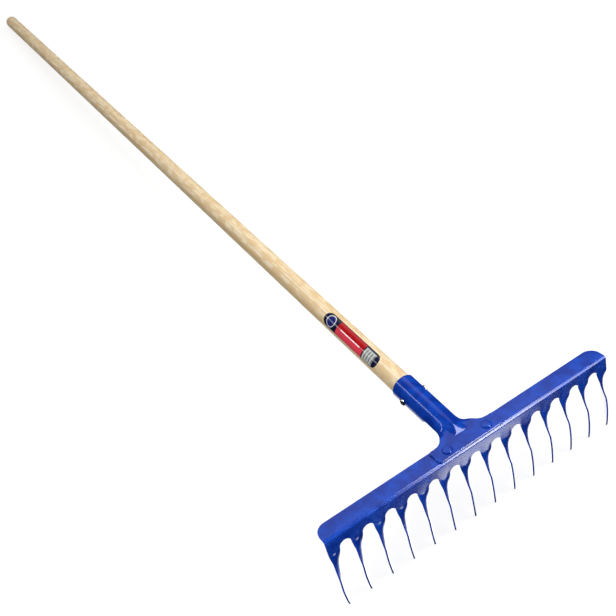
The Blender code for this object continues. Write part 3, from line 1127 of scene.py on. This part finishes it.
@dataclass
class Pole:
    """The turned wooden pole, from its tapered nose in the socket to its rounded far end."""

    length: float = 1528.0 * MM
    end_round: float = 9.0 * MM
    nose_chamfer: float = 2.0 * MM
    sides: int = 96
    face_steps: int = 3
    nose_steps: int = 6
    shaft_steps: int = 100

    def build(self, wood: PaleWood) -> None:
        """Turn the pole.

        Args:
            wood: Its finish.
        """
        outline = bmesh.new()
        far = self.length - NOSE_LENGTH
        pen = Pen(outline, Vector((0.0, 0.0, -NOSE_LENGTH)))
        pen.line((NOSE_RADIUS - self.nose_chamfer, 0.0, -NOSE_LENGTH), self.face_steps)
        pen.line((NOSE_RADIUS, 0.0, self.nose_chamfer - NOSE_LENGTH))
        pen.line((POLE_RADIUS, 0.0, 0.0), self.nose_steps)
        pen.line((END_RADIUS, 0.0, far - self.end_round), self.shaft_steps)
        pen.arc((END_RADIUS - self.end_round, 0.0, far - self.end_round), (0, -1, 0),
                math.pi / 2, ROUND_STEPS)
        pen.line((0.0, 0.0, far), self.face_steps)
        lathe(outline, self.sides)
        show("wooden_pole", outline, POLE_FRAME, wood.material(), "handle")


@dataclass
class PrintedLabel:
    """The adhesive label: a strip with rounded ends, bent round the pole behind the socket."""

    thickness: float = 0.15 * MM
    setback: float = 38.5 * MM
    turn: float = math.radians(-35.0)
    round_end: float = 9.0 * MM
    stand_off: float = 0.05 * MM
    columns: int = 24
    rows: int = 96

    def build(self, film: LabelFilm) -> None:
        """Stick the label on.

        Args:
            film: Its finish.
        """
        strip = bmesh.new()
        bmesh.ops.create_grid(strip, x_segments=self.columns, y_segments=self.rows, size=1.0)
        prints = strip.loops.layers.uv.new("film")
        wrap = POLE_RADIUS + self.stand_off
        half_length, half_width = LABEL_LENGTH / 2, LABEL_WIDTH / 2
        flat = {}
        for vert in strip.verts:
            across, along = vert.co.x * half_width, vert.co.y
            beside = max(abs(across) - (half_width - self.round_end), 0.0)
            shorter = self.round_end - math.sqrt(max(self.round_end ** 2 - beside ** 2, 0.0))
            along *= half_length - shorter
            flat[vert] = (0.5 + across / LABEL_WIDTH, 0.5 + along / LABEL_LENGTH)
            angle = across / wrap
            vert.co = (wrap * math.sin(angle), -wrap * math.cos(angle), along)
        for face in strip.faces:
            for loop in face.loops:
                loop[prints].uv = flat[loop.vert]
        bmesh.ops.recalc_face_normals(strip, faces=strip.faces)
        place = (POLE_FRAME @ Matrix.Translation((0, 0, self.setback + half_length))
                 @ Matrix.Rotation(self.turn, 4, 'Z'))
        piece = show("printed_label", strip, place, film.material(), "label")
        thicken(piece, self.thickness, offset=1.0)


@dataclass(frozen=True)
class Glow:
    """A bright panel of the set that gloss mirrors, given by directions in the world."""

    way: Triple
    along: Triple
    half_width: float
    half_length: float
    soft: float
    radiance: float

    def shine(self, sky: Nodes) -> NodeSocket:
        """Build the panel's nodes.

        Args:
            sky: The world's nodes.

        Returns:
            Its brightness in each direction.
        """
        way = Vector(self.way).normalized()
        side = way.cross(Vector(self.along)).normalized()
        length = side.cross(way)
        light = sky.ramp(sky.dot(sky.place, way), 0.0, 0.1, 0.0, self.radiance)
        for axis, half in ((side, self.half_width), (length, self.half_length)):
            off = sky.math('ABSOLUTE', sky.dot(sky.place, axis))
            light = sky.math('MULTIPLY', light, sky.ramp(off, half - self.soft, half + self.soft,
                                                         1.0, 0.0))
        return light


@dataclass(frozen=True)
class Lamp:
    """An area lamp that looks at the head."""

    name: str
    way: Triple
    distance: float
    size: Span
    radiance: float

    def hang(self, target: Vector) -> None:
        """Hang the lamp.

        Args:
            target: Where it looks.
        """
        data = bpy.data.lights.new(self.name, 'AREA')
        data.shape = 'RECTANGLE'
        data.size, data.size_y = self.size
        data.energy = self.radiance * math.pi * self.size[0] * self.size[1]
        lamp = put(self.name, data)
        direction = Vector(self.way).normalized()
        lamp.location = target + direction * self.distance
        lamp.rotation_euler = direction.to_track_quat('Z', 'Y').to_euler()
        lamp.visible_glossy = False


@dataclass
class Studio:
    """A plain pale floor, a soft dome of light with a set of panels in it, and the camera."""

    floor_size: float = 40.0
    floor_tones: Span = (0.29, 0.31)
    floor_patch: float = 0.8
    floor_glow: float = 0.78
    camera_place: Triple = (-0.35497, -1.22002, 0.85098)
    camera_turn: Triple = (45.4776, 8.1642, -32.9904)
    lens: float = 51.34
    dome: float = 0.56
    under: float = 0.32
    backdrop: float = 1.0
    mirrored: float = 0.018
    horizon: Span = (-0.1, 0.1)
    target: Triple = (0.0, -0.70, 0.05)
    glows: tuple[Glow, ...] = (
        Glow((0.40, -0.70, 0.59), (0.0, 0.64, 0.77), 0.055, 0.42, 0.05, 26.0),
        Glow((0.38, 0.10, 0.92), (0.0, 1.0, -0.11), 0.080, 0.24, 0.04, 12.0),
        Glow((0.40, 0.46, 0.79), (0.0, 0.86, -0.5), 0.20, 0.26, 0.12, 0.4),
        Glow((0.52, -0.60, 0.60), (0.0, 0.71, 0.70), 0.085, 0.70, 0.08, 8.0),
        Glow((-0.58, 0.535, 0.614), (0.3, 0.8, -0.4), 0.040, 0.5, 0.02, 9.0),
        Glow((0.385, -0.72, -0.575), (0.0, 0.6, -0.8), 0.05, 0.16, 0.03, 6.0),
        Glow((0.30, 0.46, -0.83), (0.0, 0.87, 0.48), 0.34, 0.30, 0.10, 2.1),
        Glow((0.60, 0.15, -0.785), (-0.15, 0.98, 0.07), 0.16, 0.24, 0.14, 0.8),
        Glow((0.25, 0.76, 0.60), (1.0, 0.0, 0.0), 0.26, 0.27, 0.08, 0.75),
        Glow((-0.34, 0.53, -0.78), (0.0, 0.8, 0.6), 0.13, 0.13, 0.03, 1.6),
    )
    lamps: tuple[Lamp, ...] = (
        Lamp("key", (0.8, 0.0, 1.0), 1.45, (1.6, 1.6), 2.5),
        Lamp("fill", (-0.9, -0.5, 0.8), 1.1, (0.9, 0.9), 1.5),
    )

    def lay_floor(self) -> None:
        """Lay the floor, which glossy and diffuse rays don't see."""
        mesh = bmesh.new()
        bmesh.ops.create_grid(mesh, x_segments=1, y_segments=1, size=self.floor_size / 2)
        data = bpy.data.meshes.new("floor")
        mesh.to_mesh(data)
        mesh.free()
        floor = put("floor", data)
        paint = Shader("floor_paint", Roughness=0.9, Specular_IOR_Level=0.0,
                       Emission_Color=WHITE, Emission_Strength=self.floor_glow)
        dark, pale = ((tone,) * 3 for tone in self.floor_tones)
        patches = paint.noise(self.floor_patch, detail=1.0)
        data.materials.append(paint.done(Base_Color=paint.mix(patches, dark, pale)))
        floor.visible_glossy = floor.visible_diffuse = False

    def light(self) -> None:
        """Set the dome, the panels that gloss mirrors, and the lamps."""
        world = bpy.data.worlds.new("studio")
        world.use_nodes = True
        world.cycles.sampling_method = 'NONE'
        bpy.context.scene.world = world
        sky = Nodes(world.node_tree, "Generated")
        height = sky.dot(sky.place, (0.0, 0.0, 1.0))
        mirrored = sky.ramp(height, 0.0, 0.8, self.mirrored, 2.0 * self.mirrored)
        for glow in self.glows:
            mirrored = sky.math('ADD', mirrored, glow.shine(sky))
        ray = sky.add("ShaderNodeLightPath").outputs
        soft = sky.ramp(height, *self.horizon, self.under, self.dome)
        tone = sky.math('MAXIMUM', soft, sky.math('MULTIPLY', ray["Is Camera Ray"], self.backdrop))
        gloss = sky.math('MULTIPLY', ray["Is Glossy Ray"], sky.math('SUBTRACT', mirrored, tone))
        sky.fill(sky.tree.nodes["Background"], Color=WHITE, Strength=sky.math('ADD', tone, gloss))
        for lamp in self.lamps:
            lamp.hang(Vector(self.target))

    def set_camera(self) -> None:
        """Place the camera at the photograph's angle."""
        data = bpy.data.cameras.new("camera")
        data.lens = self.lens
        data.clip_end = 100.0
        camera = put("camera", data)
        camera.location = self.camera_place
        camera.rotation_euler = [math.radians(angle) for angle in self.camera_turn]
        bpy.context.scene.camera = camera

    def build(self) -> None:
        """Set up the whole studio."""
        self.lay_floor()
        self.light()
        self.set_camera()
        view = bpy.context.scene.view_settings
        view.view_transform = 'Standard'
        view.look = 'None'
        LOG.info("studio: %d panels and %d lamps", len(self.glows), len(self.lamps))


def main() -> None:
    """Build the rake piece by piece, then the studio round it."""
    logging.basicConfig(level=logging.INFO, format="%(name)s: %(message)s")
    TineHead().build(PowderCoat("blue_coat_head"))
    Socket().build(PowderCoat("blue_coat_socket"))
    for side in Side:
        Rivet(side).build(PowderCoat("blue_coat_rivet_" + side.word))
        Screw(side).build(PlatedSteel("plated_steel_" + side.word))
    Pole().build(PaleWood("pale_wood"))
    PrintedLabel().build(LabelFilm("label_film"))
    Studio().build()


if __name__ == "__main__":
    main()
